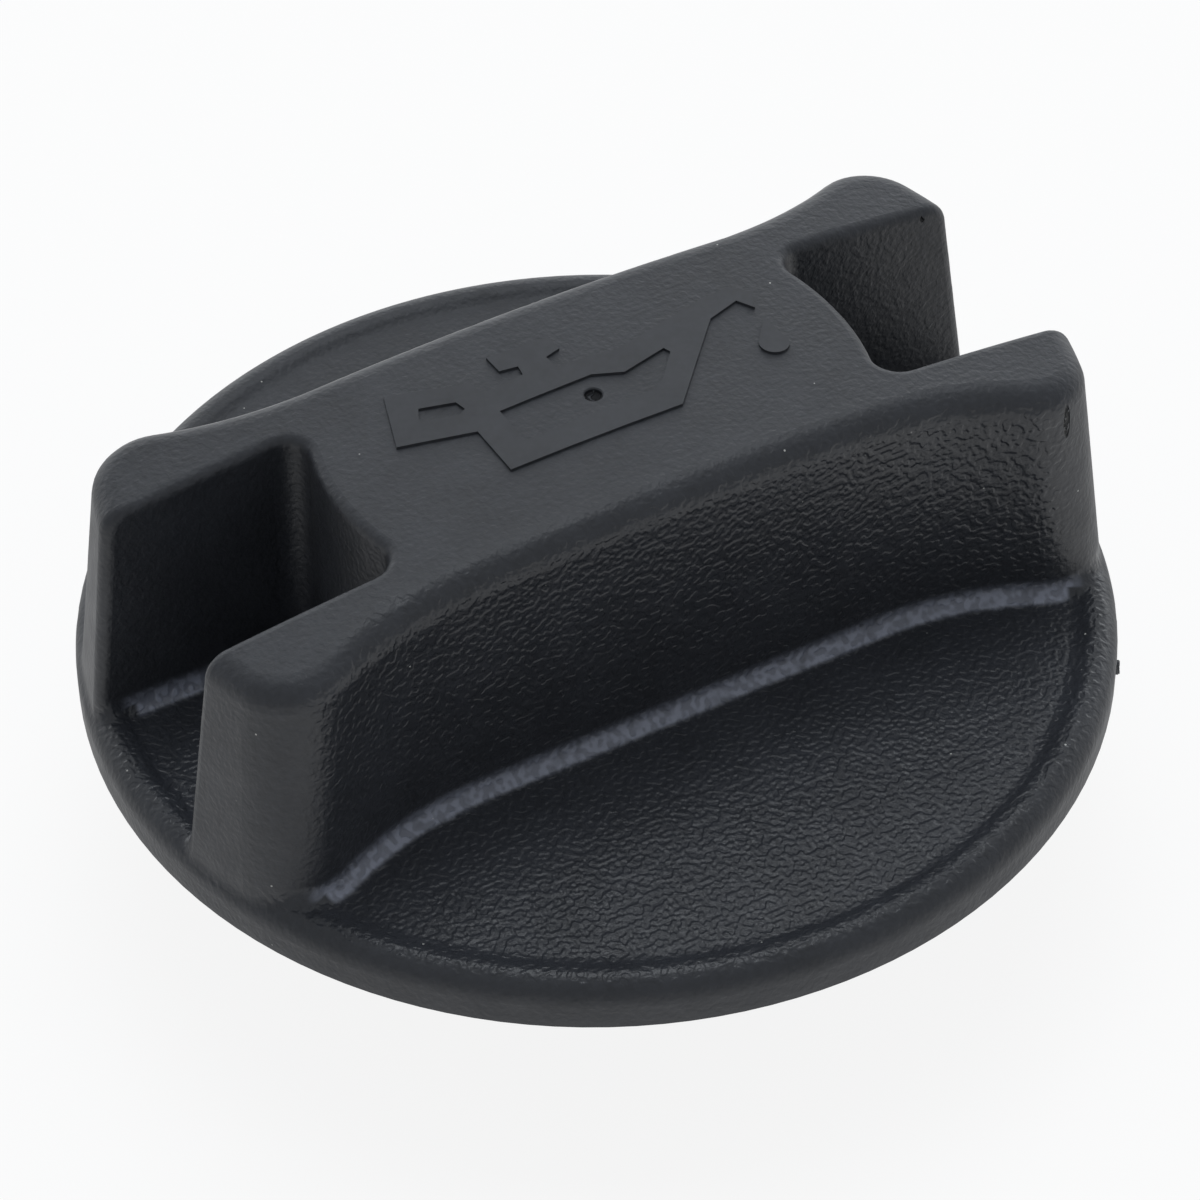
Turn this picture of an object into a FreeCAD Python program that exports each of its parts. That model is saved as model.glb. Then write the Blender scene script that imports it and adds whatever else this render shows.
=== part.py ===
import FreeCAD, Part
import math
import os

# Engine oil filler cap, in millimetres.
# Origin: on the axis of the cap, in the plane where the sealing ring meets the filler neck.
# +Z points out of the neck, the bar handle runs along X.

V = FreeCAD.Vector
UP = V(0, 0, 1)
SKIN_TOLERANCE = 0.001

# Sealing ring
SEAL_INNER_DIAMETER = 41.0
SEAL_WIDTH = 5.0
SEAL_THICKNESS = 3.0
SEAL_ROUND = 0.6

# Disc with its dished floor and rounded rim
DISC_DIAMETER = 66.0
DISC_THICKNESS = 2.9
RIM_HEIGHT = 3.3
RIM_ROUND = 1.5
LIP_WIDTH = 1.5
LOWER_EDGE_CHAMFER = 0.15

# Bar handle
HANDLE_HEIGHT = 20.6
HANDLE_WIDTH = 20.8
WAIST_LENGTH = 28.0
FLARE_RADIUS = 24.5
FLARE_ANGLE = 75.0
SIDE_DRAFT = 1.5
END_INSET = 0.45
END_DRAFT = 7.0
END_CORNER_RADIUS = 4.0
CROWN_RADIUS = 220.0
TOP_EDGE_ROUND = 1.8
BASE_FILLET = 1.2
ROOT_DEPTH = 2.0

# Slot in each end of the handle
SLOT_WIDTH = 13.4
SLOT_INNER_RADIUS = 17.6
SLOT_CORNER_RADIUS = 1.6
SLOT_DRAFT = 1.5
SLOT_EDGE_ROUND = 0.7

# Hollow stem that enters the neck, with its two bayonet lugs
STEM_DIAMETER = 34.0
STEM_LENGTH = 15.0
STEM_WALL = 3.0
STEM_END_CHAMFER = 1.0
COLLAR_CLEARANCE = 0.2
SEAL_PROUD = 1.0
LUG_COUNT = 2
LUG_REACH = 2.5
LUG_THICKNESS = 4.0
LUG_ANGLE = 42.0
LUG_RAMP = 4.0
NECK_THICKNESS = 3.0

# Least wall between the handle's outside and the hollow inside it
HANDLE_WALL = 3.0

# Raised oil can symbol on the top, and the pit that the moulding gate left on the axis
SYMBOL_HEIGHT = 0.18
CAN_OUTLINE = [
    (-11.1, 6.3), (-12.5, 1.9), (-7.7, 0.5), (-7.6, -3.5), (4.2, -3.6), (9.8, 2.6), (12.1, 3.4),
    (12.8, 2.3), (13.5, 3.7), (12.3, 4.8), (10.1, 4.5), (5.5, 3.3), (3.1, 2.8), (1.6, 3.0), (-0.8, 3.2),
    (-0.9, 4.3), (0.2, 4.6), (0.1, 5.9), (-4.1, 6.1), (-4.0, 4.6), (-2.8, 4.4), (-2.9, 3.6),
    (-5.3, 3.3), (-5.9, 3.6), (-6.0, 4.5),
]
GRIP_WINDOW = [(-10.2, 3.4), (-9.8, 4.2), (-7.6, 3.5), (-7.4, 2.7), (-7.9, 2.4), (-10.2, 3.1)]
BODY_WINDOW = [
    (-5.7, 1.4), (0.7, 1.5), (2.6, 0.7), (5.8, 1.5), (6.0, 1.0), (4.4, -0.9), (3.4, -1.6), (-5.7, -1.7),
]
DROP_TIP = (12.8, 1.2)
DROP_CENTRE = (12.1, -1.2)
DROP_RADIUS = 0.95
GATE_RADIUS = 0.65
GATE_DEPTH = 0.3

DISC_RADIUS = DISC_DIAMETER / 2
SEAL_INNER_RADIUS = SEAL_INNER_DIAMETER / 2
STEM_RADIUS = STEM_DIAMETER / 2
BORE_RADIUS = STEM_RADIUS - STEM_WALL

Z_DISC = SEAL_THICKNESS
Z_DISH = Z_DISC + DISC_THICKNESS
Z_CREST = Z_DISC + RIM_HEIGHT
Z_TOP = Z_DISC + HANDLE_HEIGHT
Z_ROOT = Z_DISH - ROOT_DEPTH
Z_STEM_END = Z_DISC - STEM_LENGTH


def lean(z, degrees):
    """Sideways shift at height z of a wall that leans by this angle from the top."""
    return (Z_TOP - z) * math.tan(math.radians(degrees))


def arc(centre, start, end):
    """Edge of the shorter arc about centre from start to end."""
    middle = (start - centre) + (end - centre)
    middle.normalize()
    return Part.Arc(start, centre + middle * (start - centre).Length, end).toShape()


def line(start, end):
    return Part.LineSegment(start, end).toShape()


def flip(point, x_sign, y_sign):
    return V(point.x * x_sign, point.y * y_sign, point.z)


def revolved(profile):
    """Solid of revolution about Z of a closed list of edges in the XZ plane."""
    return Part.Face(Part.Wire(profile)).revolve(V(), UP, 360)


def crown(extra):
    """Cylinder across the handle whose upper side is the crowned top, raised by extra, its seam below."""
    start = V(0, -DISC_RADIUS, Z_TOP - CROWN_RADIUS)
    roller = Part.makeCylinder(CROWN_RADIUS + extra, DISC_DIAMETER, start, V(0, 1, 0))
    roller.rotate(start, V(0, 1, 0), 180)
    return roller


def disc():
    """Flat underside, rounded rim and a floor that dips inside the rim by an S-shaped lip."""
    drop = Z_CREST - Z_DISH
    crest = DISC_RADIUS - RIM_ROUND
    floor_edge = crest - LIP_WIDTH
    lip_radius = (LIP_WIDTH ** 2 + drop ** 2) / (4 * drop)
    axis_low = V(0, 0, Z_DISC)
    axis_high = V(0, 0, Z_DISH)
    foot = V(DISC_RADIUS - LOWER_EDGE_CHAMFER, 0, Z_DISC)
    side_low = V(DISC_RADIUS, 0, Z_DISC + LOWER_EDGE_CHAMFER)
    side_high = V(DISC_RADIUS, 0, Z_CREST - RIM_ROUND)
    crest_point = V(crest, 0, Z_CREST)
    lip_middle = V(crest - LIP_WIDTH / 2, 0, Z_CREST - drop / 2)
    floor_point = V(floor_edge, 0, Z_DISH)
    return revolved([
        line(axis_low, foot),
        line(foot, side_low),
        line(side_low, side_high),
        arc(V(crest, 0, Z_CREST - RIM_ROUND), side_high, crest_point),
        arc(V(crest, 0, Z_CREST - lip_radius), crest_point, lip_middle),
        arc(V(floor_edge, 0, Z_DISH + lip_radius), lip_middle, floor_point),
        line(floor_point, axis_high),
        line(axis_high, axis_low),
    ])


def side_outline(z):
    """Outline at height z of the handle's sides: straight waist and flares, run out past the disc."""
    half_width = HANDLE_WIDTH / 2 + lean(z, SIDE_DRAFT)
    flare = FLARE_RADIUS - lean(z, SIDE_DRAFT)
    turn = math.radians(FLARE_ANGLE)
    waist = V(WAIST_LENGTH / 2, half_width, z)
    centre = waist + V(0, flare, 0)
    flare_end = centre + V(math.sin(turn), -math.cos(turn), 0) * flare
    edges = []
    for x_sign, y_sign in ((1, 1), (-1, -1)):
        here = [flip(point, x_sign, y_sign) for point in (centre, waist, flare_end)]
        across = [flip(point, x_sign, -y_sign) for point in (centre, waist, flare_end)]
        edges.append(arc(*here))
        edges.append(line(here[2], across[2]))
        edges.append(arc(across[0], across[2], across[1]))
        edges.append(line(across[1], flip(across[1], -1, 1)))
    return Part.Wire(edges)


def slot_outline(z, side):
    """Outline at height z of the slot in the end at side (1 or -1), run out past the disc."""
    narrowing = lean(z, SLOT_DRAFT)
    half_width = SLOT_WIDTH / 2 - narrowing
    inner = SLOT_INNER_RADIUS + narrowing
    corner = SLOT_CORNER_RADIUS
    axis = V(0, 0, z)
    reach = inner + corner
    centre = V(side * math.sqrt(reach ** 2 - (half_width - corner) ** 2), half_width - corner, z)
    on_wall = centre + V(0, corner, 0)
    on_inner = axis + (centre - axis) * (inner / reach)
    mouth = V(side * (DISC_RADIUS + corner), half_width, z)
    return Part.Wire([
        line(mouth, on_wall),
        arc(centre, on_wall, on_inner),
        arc(axis, on_inner, flip(on_inner, 1, -1)),
        arc(flip(centre, 1, -1), flip(on_inner, 1, -1), flip(on_wall, 1, -1)),
        line(flip(on_wall, 1, -1), flip(mouth, 1, -1)),
        line(flip(mouth, 1, -1), mouth),
    ])


def between(outline, low, high):
    """Solid with straight leaning walls between the outlines at two heights."""
    return Part.makeLoft([outline(low), outline(high)], True, True)


def meeting_edges(shape, first, second):
    """Edges of shape that run along the line where the skins of two other solids meet."""
    seam = first.section(second)
    room = seam.BoundBox
    room.enlarge(SKIN_TOLERANCE)
    found = []
    for edge in shape.Edges:
        middle = edge.valueAt((edge.FirstParameter + edge.LastParameter) / 2)
        if room.isInside(middle) and Part.Vertex(middle).distToShape(seam)[0] < SKIN_TOLERANCE:
            found.append(edge)
    return found


def end_faces(low, high):
    """Cone about the axis whose side holds the handle's two end faces, its seam away from them."""
    foot = DISC_RADIUS - END_INSET - lean(Z_CREST, END_DRAFT)
    low_radius = foot + lean(low, END_DRAFT)
    high_radius = foot + lean(high, END_DRAFT)
    cone = Part.makeCone(low_radius, high_radius, high - low, V(0, 0, low))
    cone.rotate(V(), UP, 90)
    return cone


def bar(low, high):
    """Crowned bar with rounded corners and top edges, not yet slotted."""
    sides = between(side_outline, Z_ROOT, high)
    ends = end_faces(low, high)
    block = sides.common(ends)
    meeting = meeting_edges(block, sides, ends)
    corners = [edge for edge in meeting if edge.BoundBox.ZLength > HANDLE_HEIGHT / 2]
    block = block.makeFillet(END_CORNER_RADIUS, corners).common(crown(0))
    top = max(block.Faces, key=lambda face: face.CenterOfMass.z)
    return block.makeFillet(TOP_EDGE_ROUND, top.Edges)


def handle():
    """Bar with a slot in each end, the slots' edges rounded over the top and down the end faces."""
    low = Z_ROOT - ROOT_DEPTH
    high = Z_TOP + TOP_EDGE_ROUND
    whole = bar(low, high)
    for side in (1, -1):
        slot = between(lambda z: slot_outline(z, side), low, high)
        cut = whole.cut(slot)
        rims = [edge for edge in meeting_edges(cut, whole, slot) if edge.BoundBox.ZMax > Z_DISH]
        whole = cut.makeFillet(SLOT_EDGE_ROUND, rims)
    return whole


def outer_shape():
    """Disc and handle in one, with a fillet round the foot of the handle."""
    base = disc()
    grip = handle().fuse(symbol()).cut(gate_pit())
    joined = base.fuse(grip)
    return joined.makeFillet(BASE_FILLET, meeting_edges(joined, base, grip))


def stem():
    """Plug below the disc, still solid, with the collar that centres the sealing ring."""
    collar_radius = SEAL_INNER_RADIUS - COLLAR_CLEARANCE
    collar_low = Z_DISC - SEAL_THICKNESS + SEAL_PROUD
    inside_disc = Z_DISC + DISC_THICKNESS / 2
    corners = [
        V(0, 0, Z_STEM_END),
        V(STEM_RADIUS - STEM_END_CHAMFER, 0, Z_STEM_END),
        V(STEM_RADIUS, 0, Z_STEM_END + STEM_END_CHAMFER),
        V(STEM_RADIUS, 0, collar_low),
        V(collar_radius, 0, collar_low),
        V(collar_radius, 0, inside_disc),
        V(0, 0, inside_disc),
    ]
    plug = revolved([line(*pair) for pair in zip(corners, corners[1:] + corners[:1])])
    for index in range(LUG_COUNT):
        plug = plug.fuse(lug(90 + index * 360 / LUG_COUNT))
    return plug


def lug(direction):
    """Bayonet lug about this direction in degrees; its upper side climbs under the neck's edge."""
    reach = STEM_RADIUS + LUG_REACH
    top = -NECK_THICKNESS
    wedge = Part.makeCylinder(reach, LUG_THICKNESS, V(0, 0, top - LUG_THICKNESS), UP, LUG_ANGLE)
    wedge.rotate(V(), UP, -LUG_ANGLE / 2)
    trailing = reach * math.sin(math.radians(LUG_ANGLE / 2))
    above = Part.makeBox(2 * reach, 4 * reach, reach, V(0, -2 * reach, 0))
    above.rotate(V(), V(1, 0, 0), LUG_RAMP)
    above.translate(V(0, trailing, top))
    wedge = wedge.cut(above)
    wedge.rotate(V(), UP, direction)
    return wedge


def hollow():
    """Bore of the stem and the narrower pocket that carries on up inside the handle."""
    bore = Part.makeCylinder(BORE_RADIUS, Z_DISC - Z_STEM_END, V(0, 0, Z_STEM_END))
    roof = Z_TOP - HANDLE_WALL
    half_width = HANDLE_WIDTH / 2 - HANDLE_WALL
    pocket_radius = min(BORE_RADIUS, SLOT_INNER_RADIUS - HANDLE_WALL)
    pocket = Part.makeCylinder(pocket_radius, roof - Z_STEM_END, V(0, 0, Z_STEM_END))
    slab = Part.makeBox(
        DISC_DIAMETER, 2 * half_width, roof - Z_STEM_END, V(-DISC_RADIUS, -half_width, Z_STEM_END)
    )
    return bore.fuse(pocket.common(slab))


def flat_shape(outline):
    points = [V(x, y, Z_TOP - TOP_EDGE_ROUND) for x, y in outline]
    return Part.Face(Part.makePolygon(points + points[:1]))


def drop_shape():
    """Round drop with a pointed top, its sides tangent to its round part."""
    tip = V(*DROP_TIP, Z_TOP - TOP_EDGE_ROUND)
    centre = V(*DROP_CENTRE, Z_TOP - TOP_EDGE_ROUND)
    way = tip - centre
    spread = math.degrees(math.acos(DROP_RADIUS / way.Length))
    unit = way / way.Length
    ahead = unit * DROP_RADIUS * math.cos(math.radians(spread))
    aside = V(-unit.y, unit.x, 0) * DROP_RADIUS * math.sin(math.radians(spread))
    left = centre + ahead + aside
    right = centre + ahead - aside
    bottom = centre - unit * DROP_RADIUS
    return Part.Face(Part.Wire([
        line(tip, left),
        Part.Arc(left, bottom, right).toShape(),
        line(right, tip),
    ]))


def symbol():
    """Oil can with its two windows, and its drop, standing a little above the crowned top."""
    can = flat_shape(CAN_OUTLINE).cut(flat_shape(GRIP_WINDOW)).cut(flat_shape(BODY_WINDOW))
    rise = V(0, 0, 2 * TOP_EDGE_ROUND)
    raised = can.extrude(rise).fuse(drop_shape().extrude(rise))
    return raised.common(crown(SYMBOL_HEIGHT))


def gate_pit():
    """Ball whose lower cap is the pit on the axis."""
    radius = (GATE_RADIUS ** 2 + GATE_DEPTH ** 2) / (2 * GATE_DEPTH)
    return Part.makeSphere(radius, V(0, 0, Z_TOP - GATE_DEPTH + radius))


def cap_body():
    """The whole moulding."""
    return outer_shape().fuse(stem()).cut(hollow())


def sealing_ring():
    """Flat rubber ring with rounded edges, against the underside of the disc."""
    inner = SEAL_INNER_RADIUS
    outer = SEAL_INNER_RADIUS + SEAL_WIDTH
    ring = Part.makeCylinder(outer, SEAL_THICKNESS).cut(Part.makeCylinder(inner, SEAL_THICKNESS))
    rims = [edge for edge in ring.Edges if edge.BoundBox.ZLength < SEAL_THICKNESS / 2]
    return ring.makeFillet(SEAL_ROUND, rims)


def main():
    os.makedirs("parts", exist_ok=True)
    for name, shape in (("cap_body", cap_body()), ("sealing_ring", sealing_ring())):
        shape.Solids[0].exportStep("parts/" + name + ".step")


if __name__ == "__main__":
    main()
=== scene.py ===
"""Engine oil filler cap: plastic and rubber finishes, moulding marks, studio and camera."""

import math

import bpy
from bpy.props import FloatProperty, FloatVectorProperty, PointerProperty
from mathutils import Matrix, Vector


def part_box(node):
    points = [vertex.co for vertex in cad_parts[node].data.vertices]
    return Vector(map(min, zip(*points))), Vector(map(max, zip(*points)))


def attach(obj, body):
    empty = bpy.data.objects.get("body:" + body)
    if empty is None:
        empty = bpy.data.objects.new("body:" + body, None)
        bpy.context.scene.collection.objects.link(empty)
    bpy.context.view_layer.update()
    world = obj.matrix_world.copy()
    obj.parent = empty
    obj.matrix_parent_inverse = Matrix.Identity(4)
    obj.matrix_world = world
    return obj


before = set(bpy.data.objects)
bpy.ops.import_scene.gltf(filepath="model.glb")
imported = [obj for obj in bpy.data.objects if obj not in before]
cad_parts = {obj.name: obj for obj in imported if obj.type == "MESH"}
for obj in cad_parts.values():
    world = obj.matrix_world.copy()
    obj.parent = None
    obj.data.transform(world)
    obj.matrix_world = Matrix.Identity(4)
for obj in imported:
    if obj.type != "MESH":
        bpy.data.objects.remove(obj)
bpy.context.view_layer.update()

bl_info = {
    "name": "Oil Filler Cap",
    "version": (1, 0, 0),
    "blender": (4, 5, 0),
    "location": "View3D > Sidebar > Oil Cap",
    "description": "Finishes the moulded oil filler cap and sets up its studio",
    "category": "Object",
}

BODY_LOW, BODY_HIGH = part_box("cap_body")
RING_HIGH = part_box("sealing_ring")[1]

# Heights and radii of the cap that the finishes follow, in metres.
SYMBOL_HEIGHT = 0.00018
CROWN_RADIUS = 0.220
DISC_THICKNESS = 0.0029
DISC_RADIUS = BODY_HIGH.x
DISC_UNDERSIDE = RING_HIGH.z
DISH_FLOOR = DISC_UNDERSIDE + DISC_THICKNESS
HANDLE_TOP = BODY_HIGH.z - SYMBOL_HEIGHT
SLOT_INNER_RADIUS = 0.0176
SLOT_HALF_WIDTH = 0.0067

# Where each finish fades in, in metres: from the place where it is gone to the place where it is full.
FLOOR_FADE = (DISH_FLOOR + 0.0016, DISH_FLOOR + 0.0008)
DISC_FADE = (DISC_UNDERSIDE, DISC_UNDERSIDE + 0.0008)
SLOT_SIDE_FADE = (SLOT_HALF_WIDTH + 0.0003, SLOT_HALF_WIDTH)
SLOT_BACK_FADE = (SLOT_INNER_RADIUS - 0.0004, SLOT_INNER_RADIUS)
FAR_SIDE_FADE = (0.0095, 0.0125)
NEAR_EDGE_FADE = (-0.0072, -0.0098)
NEAR_EDGE_LENGTH_FADE = (0.0250, 0.0180)
SIDE_GRAIN_FADE = (-0.00003, -0.0008)
END_GRAIN_FADE = (0.0280, 0.0245)
RIM_GRAIN_FADE = (DISC_RADIUS - 0.0003, DISC_RADIUS - 0.0010)
SYMBOL_FADE = (0.00010, 0.00003)
# Painted highlight: where the pale colour painted into the corner at the foot of the handle and inside the
# lip fades in and out.
PAINTED_HIGHLIGHT_FLOOR_FADE = (DISH_FLOOR, DISH_FLOOR + 0.00012)
PAINTED_HIGHLIGHT_FLOOR_RADIUS_FADE = (DISC_RADIUS - 0.0029, DISC_RADIUS - 0.0033)
PAINTED_HIGHLIGHT_LIP_FADE = (DISH_FLOOR + 0.00045, DISH_FLOOR + 0.0006)
PAINTED_HIGHLIGHT_LIP_RADIUS_FADE = (DISC_RADIUS - 0.0018, DISC_RADIUS - 0.0030)
PAINTED_HIGHLIGHT_TOP_FADE = (DISH_FLOOR + 0.0015, DISH_FLOOR + 0.0004)

# Shares of the coarse grain: left along the near top edge, taken off the slot walls and the far floor.
NEAR_EDGE_GRAIN = 0.6
SLOT_WALL_SMOOTHING = 0.7
FAR_FLOOR_SMOOTHING = 0.85

# Pattern sizes and depths of the plastic and the rubber, in metres.
CLOUD_PITCH = 0.005
SPECKLE_PITCH = 0.0005
# The painted highlight is laid on in patches of this size.
PAINTED_HIGHLIGHT_PATCH_PITCH = 0.0012
GLOSS_PITCH = 0.0016
FLAW_EDGE_PITCH = 0.0003
FLAW_DEPTH = 0.0002
RUBBER_SKIN_PITCH = 0.0003
RUBBER_SKIN_DEPTH = 0.00001
RUBBER_GLOSS_PITCH = 0.002

# Noise levels between which a pattern goes from none to full.
WRINKLE_LEVELS = (0.36, 0.64)
# Levels of the patches of the painted highlight.
PAINTED_HIGHLIGHT_PATCH_LEVELS = (0.0, 0.5)
FLAW_EDGE_LEVELS = (0.72, 0.55)
SPECK_LEVELS = (0.35, 0.40)
BLOOM_LEVELS = (0.45, 0.75)

# Strengths of the patterns.
DARK_MOTTLE = 0.5
LIGHT_MOTTLE = 1.5
# Share of the painted highlight that follows the wrinkle ridges.
PAINTED_HIGHLIGHT_ON_RIDGES = 0.4
GLOSS_SPREAD = 0.10
PLAIN_SHINE = 0.5
FLAW_STRENGTH = 0.75
FLAW_CORE = 0.7
FLAW_COLOUR = (0.003, 0.003, 0.003, 1.0)
PIT_SINK = 0.4
SPECK_CORE = 0.6
BLOOM_LIGHTENING = 1.9
RUBBER_GLOSS_SPREAD = 0.12

# Form of the flash nib, as shares of its width or of its reach.
NIB_LIFT = 0.8
NIB_TALLNESS = 1.4
NIB_TIP_FROM = 0.9
NIB_TIP_INSET = 0.22
NIB_TIP_SINK = 0.25
NIB_TIP_DROOP = 0.15
NIB_EDGE_ROUND = 0.16
NIB_SMOOTH_ANGLE = math.radians(40.0)

# Studio: sizes and places in metres, then glows and colours.
FLOOR_WIDTH = 4.0
LAMP_SETBACK = 0.10
LAMP_HEIGHT = 0.50
GLINT_SETBACK = 0.20
GLINT_HEIGHT = 0.46
CLIP_START = 0.01
PICTURE_WIDTH_MM = 36.0
FLOOR_SEEN_GLOW = 0.88
FLOOR_MIRRORED_GLOW = 0.80
ROOM_FRONT_GLOW = 0.42
ROOM_BACK_RISE = 0.28
ROOM_BACK_FADE = (-0.10, 0.75)
HORIZON_GLOW = 1.4
HORIZON_BACK_FADE = (0.2, 0.9)
HORIZON_HEIGHT_FADE = (0.55, 0.08)
ROOM_COLOUR = (0.94, 0.97, 1.0, 1.0)
LAMP_COLOUR = (0.91, 0.955, 1.0)
WHITE = (1.0, 1.0, 1.0, 1.0)


class OilCapPlastic(bpy.types.PropertyGroup):
    """Look of the moulded plastic."""

    colour: FloatVectorProperty(
        name="Colour", description="Colour of the plastic", subtype="COLOR", size=4,
        min=0.0, max=1.0, default=(0.0235, 0.0255, 0.0305, 1.0),
    )
    # Pale bluish colour painted into the inner corners as a highlight.
    painted_highlight_colour: FloatVectorProperty(
        name="Painted highlight colour", description="Colour of the haze in the inner corners", subtype="COLOR", size=4,
        min=0.0, max=1.0, default=(0.20, 0.215, 0.265, 1.0),
    )
    dust_colour: FloatVectorProperty(
        name="Dust colour", description="Colour of the dust specks", subtype="COLOR", size=4,
        min=0.0, max=1.0, default=(0.42, 0.42, 0.40, 1.0),
    )
    roughness: FloatProperty(
        name="Roughness", description="Roughness of the plastic", subtype="FACTOR",
        min=0.0, max=1.0, default=0.50,
    )
    grain_gloss: FloatProperty(
        name="Grain gloss", description="How much less rough the coarse grain is", subtype="FACTOR",
        min=0.0, max=1.0, default=0.18,
    )
    grain_pitch: FloatProperty(
        name="Grain pitch", description="Size of the coarse wrinkles", unit="LENGTH", default=0.00042,
    )
    grain_depth: FloatProperty(
        name="Grain depth", description="Height of the coarse wrinkles", unit="LENGTH", default=0.000036,
    )
    plain_share: FloatProperty(
        name="Plain share", description="Share of the coarse grain left on the plain faces", subtype="FACTOR",
        min=0.0, max=1.0, default=0.36,
    )
    fine_pitch: FloatProperty(
        name="Fine grain pitch", description="Size of the fine grain", unit="LENGTH", default=0.00026,
    )
    fine_depth: FloatProperty(
        name="Fine grain depth", description="Height of the fine grain", unit="LENGTH", default=0.000030,
    )
    speck_spacing: FloatProperty(
        name="Speck spacing", description="Distance between dust specks", unit="LENGTH", default=0.0022,
    )
    speck_radius: FloatProperty(
        name="Speck radius", description="Radius of a dust speck", unit="LENGTH", default=0.00008,
    )


class OilCapRubber(bpy.types.PropertyGroup):
    """Look of the sealing ring."""

    colour: FloatVectorProperty(
        name="Colour", description="Colour of the rubber", subtype="COLOR", size=4,
        min=0.0, max=1.0, default=(0.013, 0.013, 0.014, 1.0),
    )
    roughness: FloatProperty(
        name="Roughness", description="Roughness of the rubber", subtype="FACTOR",
        min=0.0, max=1.0, default=0.68,
    )
    bloom_pitch: FloatProperty(
        name="Bloom size", description="Size of the pale clouds on the rubber", unit="LENGTH", default=0.006,
    )


class OilCapMarks(bpy.types.PropertyGroup):
    """Small flaws left by moulding and handling."""

    nib_angle: FloatProperty(
        name="Nib angle", description="Place of the flash nib round the rim", subtype="ANGLE",
        default=math.radians(-35.6),
    )
    nib_width: FloatProperty(
        name="Nib width", description="Width of the flash nib", unit="LENGTH", default=0.0006,
    )
    nib_reach: FloatProperty(
        name="Nib reach", description="How far the nib stands out of the rim", unit="LENGTH", default=0.00024,
    )
    nick_place: FloatVectorProperty(
        name="Nick", description="Middle of the nick in the handle's corner", subtype="XYZ", unit="LENGTH",
        default=(0.0262, -0.0128, 0.0196),
    )
    nick_size: FloatVectorProperty(
        name="Nick size", description="Half sizes of the nick", subtype="XYZ", unit="LENGTH",
        default=(0.0003, 0.0008, 0.0014),
    )
    chip_place: FloatVectorProperty(
        name="Chip", description="Middle of the chip at the edge of a slot", subtype="XYZ", unit="LENGTH",
        default=(0.0279, 0.0066, 0.0212),
    )
    chip_size: FloatVectorProperty(
        name="Chip size", description="Half sizes of the chip", subtype="XYZ", unit="LENGTH",
        default=(0.0002, 0.0003, 0.0003),
    )
    pit_radius: FloatProperty(
        name="Pit radius", description="Radius of the dark gate pit", unit="LENGTH", default=0.00062,
    )


class OilCapStage(bpy.types.PropertyGroup):
    """Studio and camera."""

    azimuth: FloatProperty(
        name="Azimuth", description="Camera's turn about the cap", subtype="ANGLE",
        default=math.radians(-28.846),
    )
    elevation: FloatProperty(
        name="Elevation", description="Camera's height above the disc", subtype="ANGLE",
        default=math.radians(44.274),
    )
    roll: FloatProperty(
        name="Roll", description="Turn of the picture about its centre", subtype="ANGLE",
        default=math.radians(0.804),
    )
    distance: FloatProperty(
        name="Distance", description="Camera's distance from the disc", unit="LENGTH", default=0.300,
    )
    lens: FloatProperty(
        name="Lens", description="Focal length on a 36 mm wide picture", unit="CAMERA", default=141.05,
    )
    aim_right: FloatProperty(
        name="Aim right", description="Aim right of the disc's centre", unit="LENGTH", default=0.000216,
    )
    aim_up: FloatProperty(
        name="Aim up", description="Aim above the disc's centre", unit="LENGTH", default=0.002364,
    )
    floor_colour: FloatVectorProperty(
        name="Floor colour", description="Colour of the floor", subtype="COLOR", size=4,
        min=0.0, max=1.0, default=(0.85, 0.85, 0.85, 1.0),
    )
    lamp_power: FloatProperty(
        name="Lamp power", description="Power of the soft lamp above", unit="POWER", default=1.0,
    )
    lamp_size: FloatProperty(
        name="Lamp size", description="Width of the soft lamp above", unit="LENGTH", default=0.34,
    )
    glint_power: FloatProperty(
        name="Glint power", description="Power of the small lamp behind", unit="POWER", default=0.20,
    )
    glint_size: FloatProperty(
        name="Glint size", description="Width of the small lamp behind", unit="LENGTH", default=0.15,
    )


def add_node(tree, kind, inputs=None, **settings):
    """A new node with its settings and inputs; an input that is a socket is linked."""
    node = tree.nodes.new(kind)
    for name, value in settings.items():
        setattr(node, name, value)
    for name, value in (inputs or {}).items():
        if isinstance(value, bpy.types.NodeSocket):
            tree.links.new(value, node.inputs[name])
        else:
            node.inputs[name].default_value = value
    return node


def calculate(tree, operation, first, second=0.0):
    return add_node(tree, "ShaderNodeMath", {0: first, 1: second}, operation=operation).outputs[0]


def scaled(tree, value, factor, offset):
    """value * factor + offset."""
    inputs = {0: value, 1: factor, 2: offset}
    return add_node(tree, "ShaderNodeMath", inputs, operation="MULTIPLY_ADD").outputs[0]


def uneven(tree, pattern, middle, spread):
    """The middle value, moved down and up by the pattern over the spread."""
    return scaled(tree, pattern, spread, middle - spread / 2)


def multiply_all(tree, first, *others):
    result = first
    for other in others:
        result = calculate(tree, "MULTIPLY", result, other)
    return result


def without(tree, mask, share):
    """1 off the mask, less by the share on it."""
    return calculate(tree, "SUBTRACT", 1.0, calculate(tree, "MULTIPLY", mask, share))


def fade(tree, value, zero_at, one_at):
    """0 to 1 in a smooth step as value goes from zero_at to one_at."""
    low, high = min(zero_at, one_at), max(zero_at, one_at)
    start, end = (0.0, 1.0) if zero_at < one_at else (1.0, 0.0)
    inputs = {"Value": value, "From Min": low, "From Max": high, "To Min": start, "To Max": end}
    return add_node(tree, "ShaderNodeMapRange", inputs, interpolation_type="SMOOTHSTEP").outputs["Result"]


def noise(tree, place, pitch, detail=1.0):
    inputs = {"Vector": place, "Scale": 1.0 / pitch, "Detail": detail}
    return add_node(tree, "ShaderNodeTexNoise", inputs).outputs["Fac"]


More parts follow.
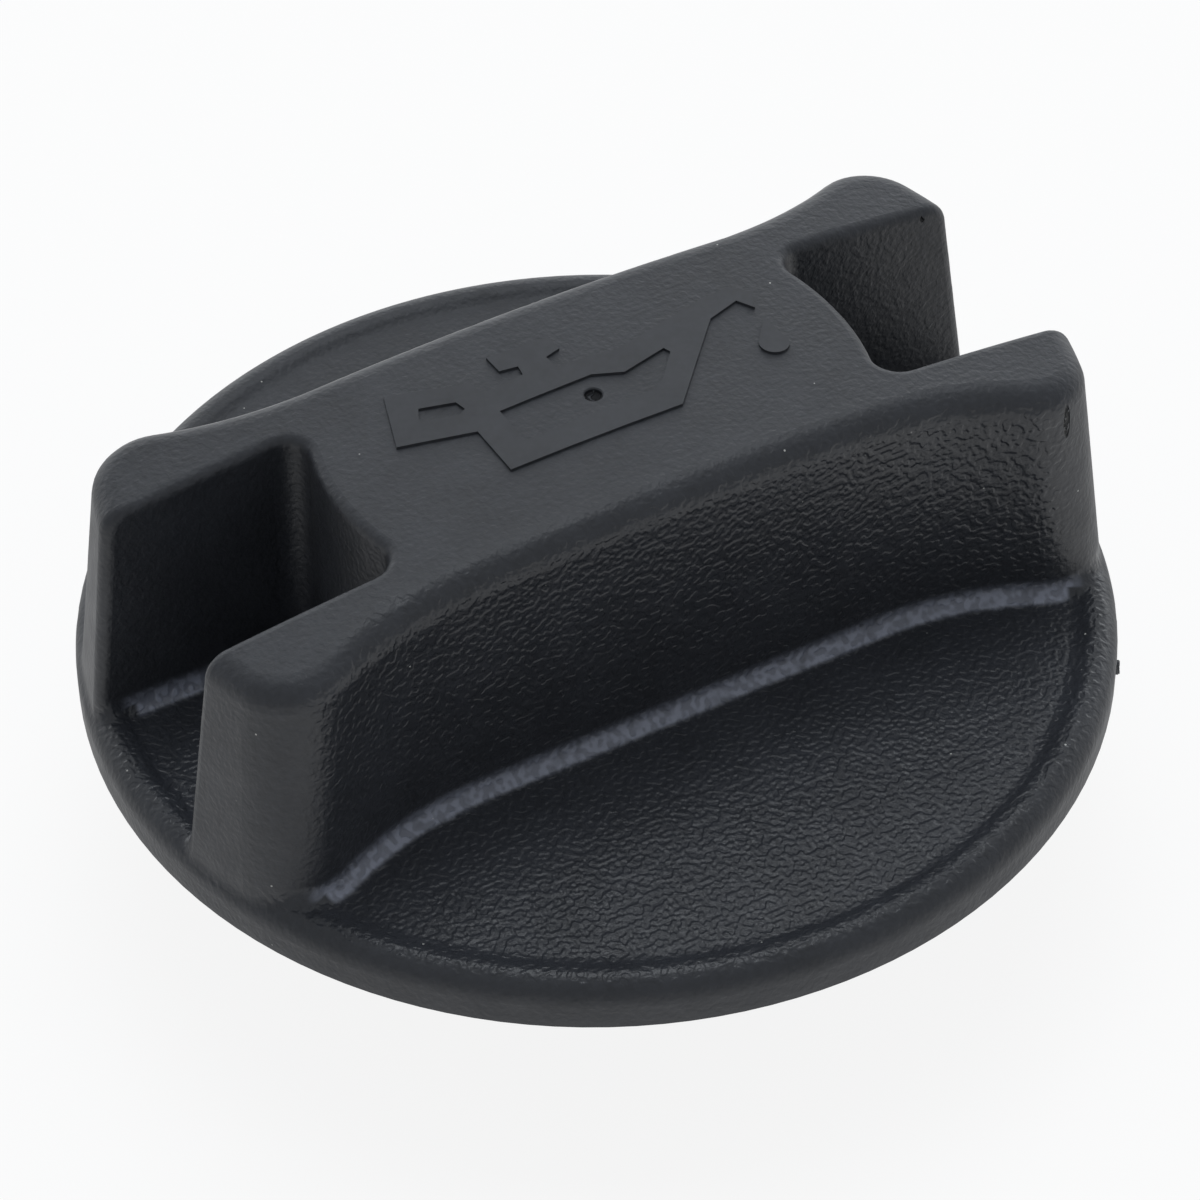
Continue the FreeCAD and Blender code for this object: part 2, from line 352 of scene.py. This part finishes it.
def tint(tree, amount, under, over):
    """Colour that goes from under to over as amount goes from 0 to 1."""
    return add_node(tree, "ShaderNodeMix", {0: amount, 6: under, 7: over}, data_type="RGBA").outputs[2]


def shaded(colour, factor):
    """The colour made darker or lighter."""
    return tuple(channel * factor for channel in colour[:3]) + (1.0,)


def new_material(name):
    """An empty node material: its tree, shader and object coordinates."""
    material = bpy.data.materials.new(name)
    material.use_nodes = True
    tree = material.node_tree
    tree.nodes.clear()
    shader = add_node(tree, "ShaderNodeBsdfPrincipled")
    output = add_node(tree, "ShaderNodeOutputMaterial")
    tree.links.new(shader.outputs["BSDF"], output.inputs["Surface"])
    place = add_node(tree, "ShaderNodeTexCoord").outputs["Object"]
    return material, tree, shader, place


def link_finish(tree, shader, base, rough, height):
    """Gives the shader its colour, its roughness and a relief of the given height in metres."""
    bump = add_node(tree, "ShaderNodeBump", {"Strength": 1.0, "Distance": 1.0, "Height": height})
    tree.links.new(base, shader.inputs["Base Color"])
    tree.links.new(rough, shader.inputs["Roughness"])
    tree.links.new(bump.outputs["Normal"], shader.inputs["Normal"])


class CapPlaces:
    """Where a point of the cap lies: each value runs from 0 to 1."""

    def __init__(self, tree, place):
        x, y, z = add_node(tree, "ShaderNodeSeparateXYZ", {"Vector": place}).outputs
        x_squared = calculate(tree, "MULTIPLY", x, x)
        y_squared = calculate(tree, "MULTIPLY", y, y)
        radius = calculate(tree, "SQRT", calculate(tree, "ADD", x_squared, y_squared))
        crown_drop = calculate(tree, "MULTIPLY", x_squared, 0.5 / CROWN_RADIUS)
        above_crown = calculate(tree, "ADD", calculate(tree, "SUBTRACT", z, HANDLE_TOP), crown_drop)
        along = calculate(tree, "ABSOLUTE", x)
        across = calculate(tree, "ABSOLUTE", y)
        low_down = fade(tree, z, *FLOOR_FADE)
        above_disc = fade(tree, z, *DISC_FADE)
        slot_wall = multiply_all(
            tree,
            fade(tree, across, *SLOT_SIDE_FADE),
            fade(tree, radius, *SLOT_BACK_FADE),
            calculate(tree, "SUBTRACT", 1.0, low_down),
        )
        far_floor = calculate(tree, "MULTIPLY", fade(tree, y, *FAR_SIDE_FADE), low_down)
        near_edge = multiply_all(
            tree,
            fade(tree, y, *NEAR_EDGE_FADE),
            fade(tree, along, *NEAR_EDGE_LENGTH_FADE),
            NEAR_EDGE_GRAIN,
        )

        # The sides, the dish and the slot floors are grained; the top, the end faces and the rim are not.
        self.grained = multiply_all(
            tree,
            calculate(tree, "MAXIMUM", fade(tree, above_crown, *SIDE_GRAIN_FADE), near_edge),
            calculate(tree, "MAXIMUM", fade(tree, along, *END_GRAIN_FADE), low_down),
            fade(tree, radius, *RIM_GRAIN_FADE),
            above_disc,
            without(tree, slot_wall, SLOT_WALL_SMOOTHING),
            without(tree, far_floor, FAR_FLOOR_SMOOTHING),
        )
        # The raised symbol and everything under the disc are smooth.
        self.matte = multiply_all(tree, fade(tree, above_crown, *SYMBOL_FADE), above_disc)
        # Painted highlight: a pale colour painted into the rounded corner at the foot of the handle, where
        # light would glint.
        inside_lip = calculate(
            tree, "MULTIPLY",
            fade(tree, z, *PAINTED_HIGHLIGHT_FLOOR_FADE),
            fade(tree, radius, *PAINTED_HIGHLIGHT_FLOOR_RADIUS_FADE),
        )
        above_lip = calculate(
            tree, "MULTIPLY",
            fade(tree, z, *PAINTED_HIGHLIGHT_LIP_FADE),
            fade(tree, radius, *PAINTED_HIGHLIGHT_LIP_RADIUS_FADE),
        )
        self.corner = multiply_all(
            tree,
            calculate(tree, "MAXIMUM", inside_lip, above_lip),
            fade(tree, z, *PAINTED_HIGHLIGHT_TOP_FADE),
        )


def wrinkles(tree, place, pitch):
    """Rounded worm-like ridges: one even noise with its middle levels made steep."""
    return fade(tree, noise(tree, place, pitch, detail=0.0), *WRINKLE_LEVELS)


def ball(tree, place, middle, half_sizes):
    """1 inside a soft-edged ellipsoid."""
    offset = add_node(tree, "ShaderNodeVectorMath", {0: place, 1: middle}, operation="SUBTRACT").outputs[0]
    share = add_node(tree, "ShaderNodeVectorMath", {0: offset, 1: half_sizes}, operation="DIVIDE").outputs[0]
    length = add_node(tree, "ShaderNodeVectorMath", {0: share}, operation="LENGTH").outputs["Value"]
    return fade(tree, length, 1.0, FLAW_CORE)


def flaw_mask(tree, place, marks):
    """Above 0 on the nick, the chip and the gate pit, with ragged edges."""
    pit_place = (0.0, 0.0, HANDLE_TOP - PIT_SINK * marks.pit_radius)
    pit_size = (marks.pit_radius, marks.pit_radius, marks.pit_radius)
    nick = ball(tree, place, tuple(marks.nick_place), tuple(marks.nick_size))
    chip = ball(tree, place, tuple(marks.chip_place), tuple(marks.chip_size))
    pit = ball(tree, place, pit_place, pit_size)
    flaws = calculate(tree, "MAXIMUM", calculate(tree, "MAXIMUM", nick, chip), pit)
    ragged = fade(tree, noise(tree, place, FLAW_EDGE_PITCH, detail=0.0), *FLAW_EDGE_LEVELS)
    return multiply_all(tree, flaws, ragged, FLAW_STRENGTH)


def dust(tree, place, settings):
    """1 on sparse specks of dust."""
    inputs = {"Vector": place, "Scale": 1.0 / settings.speck_spacing}
    cells = add_node(tree, "ShaderNodeTexVoronoi", inputs)
    edge = settings.speck_radius / settings.speck_spacing
    spot = fade(tree, cells.outputs["Distance"], edge, edge * SPECK_CORE)
    pick = add_node(tree, "ShaderNodeSeparateColor", {"Color": cells.outputs["Color"]}).outputs["Red"]
    return calculate(tree, "MULTIPLY", spot, fade(tree, pick, *SPECK_LEVELS))


def plastic_material(settings, marks):
    """Black plastic with coarse wrinkles, fine grain, mottling, a painted highlight in the corners, dust and
    a few flaws.
    """
    material, tree, shader, place = new_material("grained_black_plastic")
    places = CapPlaces(tree, place)
    flaws = flaw_mask(tree, place, marks)

    plain = calculate(tree, "MULTIPLY", places.matte, settings.plain_share)
    amount = calculate(tree, "MAXIMUM", places.grained, plain)
    ridges = wrinkles(tree, place, settings.grain_pitch)
    coarse = calculate(tree, "MULTIPLY", ridges, amount)
    fine = calculate(tree, "MULTIPLY", noise(tree, place, settings.fine_pitch), places.matte)
    height = calculate(
        tree, "ADD",
        calculate(tree, "MULTIPLY", coarse, settings.grain_depth),
        calculate(tree, "MULTIPLY", fine, settings.fine_depth),
    )
    height = calculate(tree, "SUBTRACT", height, calculate(tree, "MULTIPLY", flaws, FLAW_DEPTH))

    clouds = calculate(tree, "ADD", noise(tree, place, CLOUD_PITCH), noise(tree, place, SPECKLE_PITCH))
    mottle = calculate(tree, "MULTIPLY", clouds, 0.5)
    # Painted highlight: a pale bluish colour painted in patches into the corner at the foot of the handle,
    # brighter on the wrinkle ridges.
    highlight_patches = fade(tree, noise(tree, place, PAINTED_HIGHLIGHT_PATCH_PITCH), *PAINTED_HIGHLIGHT_PATCH_LEVELS)
    ridge_painted_highlight = scaled(tree, ridges, PAINTED_HIGHLIGHT_ON_RIDGES, 1.0 - PAINTED_HIGHLIGHT_ON_RIDGES)
    painted_highlight = multiply_all(tree, places.corner, highlight_patches, ridge_painted_highlight)
    base = tint(tree, mottle, shaded(settings.colour, DARK_MOTTLE), shaded(settings.colour, LIGHT_MOTTLE))
    base = tint(tree, painted_highlight, base, settings.painted_highlight_colour)
    base = tint(tree, flaws, base, FLAW_COLOUR)
    base = tint(tree, dust(tree, place, settings), base, settings.dust_colour)

    rough = uneven(tree, noise(tree, place, GLOSS_PITCH, detail=0.0), settings.roughness, GLOSS_SPREAD)
    gloss = calculate(tree, "MULTIPLY", places.grained, settings.grain_gloss)
    rough = calculate(tree, "SUBTRACT", rough, gloss)
    shine = scaled(tree, flaws, -PLAIN_SHINE, PLAIN_SHINE)
    tree.links.new(shine, shader.inputs["Specular IOR Level"])
    link_finish(tree, shader, base, rough, height)
    return material


def rubber_material(settings):
    """Matte black rubber with a faint pale bloom."""
    material, tree, shader, place = new_material("black_sealing_rubber")
    bloom = fade(tree, noise(tree, place, settings.bloom_pitch, detail=4.0), *BLOOM_LEVELS)
    base = tint(tree, bloom, settings.colour, shaded(settings.colour, BLOOM_LIGHTENING))
    skin = calculate(tree, "MULTIPLY", noise(tree, place, RUBBER_SKIN_PITCH, detail=3.0), RUBBER_SKIN_DEPTH)
    rough = uneven(tree, noise(tree, place, RUBBER_GLOSS_PITCH), settings.roughness, RUBBER_GLOSS_SPREAD)
    link_finish(tree, shader, base, rough, skin)
    return material


def set_material(obj, material):
    if not obj.material_slots:
        obj.data.materials.append(material)
    for slot in obj.material_slots:
        slot.material = material


def deselect_all():
    if bpy.context.object and bpy.context.object.mode != "OBJECT":
        bpy.ops.object.mode_set(mode="OBJECT")
    bpy.ops.object.select_all(action="DESELECT")


def select_faces(obj, test):
    """In edit mode, selects only the faces whose centre passes the test."""
    bpy.ops.mesh.select_all(action="DESELECT")
    bpy.ops.object.mode_set(mode="OBJECT")
    for face in obj.data.polygons:
        face.select = test(face.center)
    bpy.ops.object.mode_set(mode="EDIT")
    bpy.ops.mesh.select_mode(type="FACE")


class OILCAP_OT_finish_body(bpy.types.Operator):
    """Gives the moulded body its grained plastic"""

    bl_idname = "oilcap.finish_body"
    bl_label = "Finish Body"

    def execute(self, context):
        material = plastic_material(context.scene.oil_cap_plastic, context.scene.oil_cap_marks)
        set_material(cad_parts["cap_body"], material)
        return {"FINISHED"}


class OILCAP_OT_finish_ring(bpy.types.Operator):
    """Gives the sealing ring its rubber"""

    bl_idname = "oilcap.finish_ring"
    bl_label = "Finish Sealing Ring"

    def execute(self, context):
        set_material(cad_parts["sealing_ring"], rubber_material(context.scene.oil_cap_rubber))
        return {"FINISHED"}


class OILCAP_OT_flash_nib(bpy.types.Operator):
    """Models the small nib of flash on the lower edge of the rim"""

    bl_idname = "oilcap.flash_nib"
    bl_label = "Model Flash Nib"

    def execute(self, context):
        marks = context.scene.oil_cap_marks
        width, reach = marks.nib_width, marks.nib_reach
        height = DISC_UNDERSIDE + NIB_LIFT * width
        deselect_all()
        bpy.ops.mesh.primitive_cube_add(size=1.0, location=(DISC_RADIUS, 0.0, height))
        nib = context.object
        nib.name = "flash_nib"
        nib.data.name = "flash_nib"
        nib.scale = (2.0 * reach, width, width * NIB_TALLNESS)
        bpy.ops.object.transform_apply(location=True, rotation=True, scale=True)
        bpy.ops.object.mode_set(mode="EDIT")
        select_faces(nib, lambda centre: centre.x > DISC_RADIUS + NIB_TIP_FROM * reach)
        bpy.ops.mesh.inset(thickness=width * NIB_TIP_INSET)
        bpy.ops.transform.translate(value=(-NIB_TIP_SINK * reach, 0.0, -NIB_TIP_DROOP * width))
        bpy.ops.mesh.select_all(action="SELECT")
        bpy.ops.mesh.bevel(offset=width * NIB_EDGE_ROUND, segments=2)
        bpy.ops.object.mode_set(mode="OBJECT")
        nib.rotation_euler = (0.0, 0.0, marks.nib_angle)
        bpy.ops.object.transform_apply(location=True, rotation=True, scale=True)
        bpy.ops.object.shade_smooth_by_angle(angle=NIB_SMOOTH_ANGLE)
        set_material(nib, bpy.data.materials["grained_black_plastic"])
        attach(nib, "root")
        return {"FINISHED"}


def away_from_camera(stage):
    """Level direction from the camera towards the cap and on behind it."""
    return Vector((-math.sin(stage.azimuth), math.cos(stage.azimuth), 0.0))


def camera_axes(stage):
    """Right, up and forward of the camera before it is aimed off the disc's centre."""
    turn, lift, roll = stage.azimuth, stage.elevation, stage.roll
    ahead = away_from_camera(stage)
    right = Vector((math.cos(turn), math.sin(turn), 0.0))
    forward = ahead * math.cos(lift) - Vector((0.0, 0.0, math.sin(lift)))
    up = ahead * math.sin(lift) + Vector((0.0, 0.0, math.cos(lift)))
    rolled_right = right * math.cos(roll) - up * math.sin(roll)
    rolled_up = right * math.sin(roll) + up * math.cos(roll)
    return rolled_right, rolled_up, forward


def set_camera(stage):
    right, up, forward = camera_axes(stage)
    centre = Vector((0.0, 0.0, DISC_UNDERSIDE))
    eye = centre - forward * stage.distance
    aim = centre + right * stage.aim_right + up * stage.aim_up
    look = (aim - eye).normalized()
    side = look.cross(up).normalized()
    over = side.cross(look)
    turned = Matrix((side, over, -look)).transposed()
    bpy.ops.object.camera_add(location=eye, rotation=turned.to_euler())
    camera = bpy.context.object
    camera.name = "photo_camera"
    camera.data.lens = stage.lens
    camera.data.sensor_width = PICTURE_WIDTH_MM
    camera.data.clip_start = CLIP_START
    bpy.context.scene.camera = camera


def floor_material(colour):
    """White floor with a faint shadow, brighter to the camera and in reflections, clear from below."""
    material = bpy.data.materials.new("studio_floor")
    material.use_nodes = True
    tree = material.node_tree
    tree.nodes.clear()
    output = add_node(tree, "ShaderNodeOutputMaterial")
    lit = add_node(tree, "ShaderNodeBsdfDiffuse", {"Color": colour})
    glow = add_node(tree, "ShaderNodeEmission", {"Color": WHITE, "Strength": 1.0})
    path = add_node(tree, "ShaderNodeLightPath")
    seen = calculate(tree, "MULTIPLY", path.outputs["Is Camera Ray"], FLOOR_SEEN_GLOW)
    mirrored = calculate(tree, "MULTIPLY", path.outputs["Is Glossy Ray"], FLOOR_MIRRORED_GLOW)
    share = calculate(tree, "MAXIMUM", seen, mirrored)
    above = add_node(tree, "ShaderNodeMixShader", {0: share, 1: lit.outputs[0], 2: glow.outputs[0]})
    below = add_node(tree, "ShaderNodeBsdfTransparent")
    from_below = add_node(tree, "ShaderNodeNewGeometry").outputs["Backfacing"]
    both = add_node(tree, "ShaderNodeMixShader", {0: from_below, 1: above.outputs[0], 2: below.outputs[0]})
    tree.links.new(both.outputs[0], output.inputs["Surface"])
    return material


def set_floor(stage):
    deselect_all()
    bpy.ops.mesh.primitive_plane_add(size=FLOOR_WIDTH, location=(0.0, 0.0, BODY_LOW.z))
    floor = bpy.context.object
    floor.name = "studio_floor"
    bpy.ops.object.transform_apply(location=True, rotation=True, scale=True)
    floor.data.materials.append(floor_material(stage.floor_colour))


def set_world(stage):
    """Pale room behind the cap and a dim one in front of it; white where the camera sees it."""
    world = bpy.data.worlds.new("studio_room")
    world.use_nodes = True
    bpy.context.scene.world = world
    tree = world.node_tree
    tree.nodes.clear()
    output = add_node(tree, "ShaderNodeOutputWorld")
    way = add_node(tree, "ShaderNodeTexCoord").outputs["Generated"]
    inputs = {0: way, 1: away_from_camera(stage)}
    along = add_node(tree, "ShaderNodeVectorMath", inputs, operation="DOT_PRODUCT").outputs["Value"]
    height = add_node(tree, "ShaderNodeSeparateXYZ", {"Vector": way}).outputs["Z"]
    room_glow = scaled(tree, fade(tree, along, *ROOM_BACK_FADE), ROOM_BACK_RISE, ROOM_FRONT_GLOW)
    horizon = multiply_all(
        tree,
        fade(tree, along, *HORIZON_BACK_FADE),
        fade(tree, height, *HORIZON_HEIGHT_FADE),
        HORIZON_GLOW,
    )
    glow = calculate(tree, "ADD", room_glow, horizon)
    path = add_node(tree, "ShaderNodeLightPath")
    strength = add_node(tree, "ShaderNodeMix", {0: path.outputs["Is Camera Ray"], 2: glow, 3: 1.0}).outputs[0]
    room = add_node(tree, "ShaderNodeBackground", {"Color": ROOM_COLOUR, "Strength": strength})
    tree.links.new(room.outputs[0], output.inputs["Surface"])


def add_lamp(name, place, size, power, mirrored):
    """Square soft lamp aimed at the cap, seen in its reflections only if mirrored."""
    aim = (Vector((0.0, 0.0, DISH_FLOOR)) - place).to_track_quat("-Z", "Y").to_euler()
    bpy.ops.object.light_add(type="AREA", location=place, rotation=aim)
    lamp = bpy.context.object
    lamp.name = name
    lamp.data.shape = "SQUARE"
    lamp.data.size = size
    lamp.data.energy = power
    lamp.data.color = LAMP_COLOUR
    lamp.visible_glossy = mirrored


def set_lamps(stage):
    """Wide soft lamp above the cap, and a small one further behind that picks out the grain."""
    behind = away_from_camera(stage)
    above = behind * LAMP_SETBACK + Vector((0.0, 0.0, LAMP_HEIGHT))
    further = behind * GLINT_SETBACK + Vector((0.0, 0.0, GLINT_HEIGHT))
    add_lamp("soft_lamp_above", above, stage.lamp_size, stage.lamp_power, False)
    add_lamp("grain_lamp_behind", further, stage.glint_size, stage.glint_power, True)


class OILCAP_OT_stage(bpy.types.Operator):
    """Adds the floor, the room, the lamps and the camera"""

    bl_idname = "oilcap.stage"
    bl_label = "Set Stage"

    def execute(self, context):
        stage = context.scene.oil_cap_stage
        set_floor(stage)
        set_world(stage)
        set_lamps(stage)
        set_camera(stage)
        context.scene.view_settings.view_transform = "Standard"
        return {"FINISHED"}


class OILCAP_PT_panel(bpy.types.Panel):
    """Steps and settings of the oil filler cap"""

    bl_label = "Oil Filler Cap"
    bl_idname = "OILCAP_PT_panel"
    bl_space_type = "VIEW_3D"
    bl_region_type = "UI"
    bl_category = "Oil Cap"

    def draw(self, context):
        layout = self.layout
        for operator in STEPS:
            layout.operator(operator.bl_idname)
        for group in GROUPS:
            box = layout.box()
            settings = getattr(context.scene, group)
            for name in settings.bl_rna.properties.keys():
                if name not in {"rna_type", "name"}:
                    box.prop(settings, name)


GROUPS = {
    "oil_cap_plastic": OilCapPlastic,
    "oil_cap_rubber": OilCapRubber,
    "oil_cap_marks": OilCapMarks,
    "oil_cap_stage": OilCapStage,
}
STEPS = (OILCAP_OT_finish_body, OILCAP_OT_finish_ring, OILCAP_OT_flash_nib, OILCAP_OT_stage)
CLASSES = (*GROUPS.values(), *STEPS, OILCAP_PT_panel)


def register():
    for item in CLASSES:
        bpy.utils.register_class(item)
    for name, group in GROUPS.items():
        setattr(bpy.types.Scene, name, PointerProperty(type=group))


def unregister():
    for name in GROUPS:
        delattr(bpy.types.Scene, name)
    for item in reversed(CLASSES):
        bpy.utils.unregister_class(item)


def main():
    register()
    bpy.ops.oilcap.finish_body()
    bpy.ops.oilcap.finish_ring()
    bpy.ops.oilcap.flash_nib()
    bpy.ops.oilcap.stage()


if __name__ == "__main__":
    main()
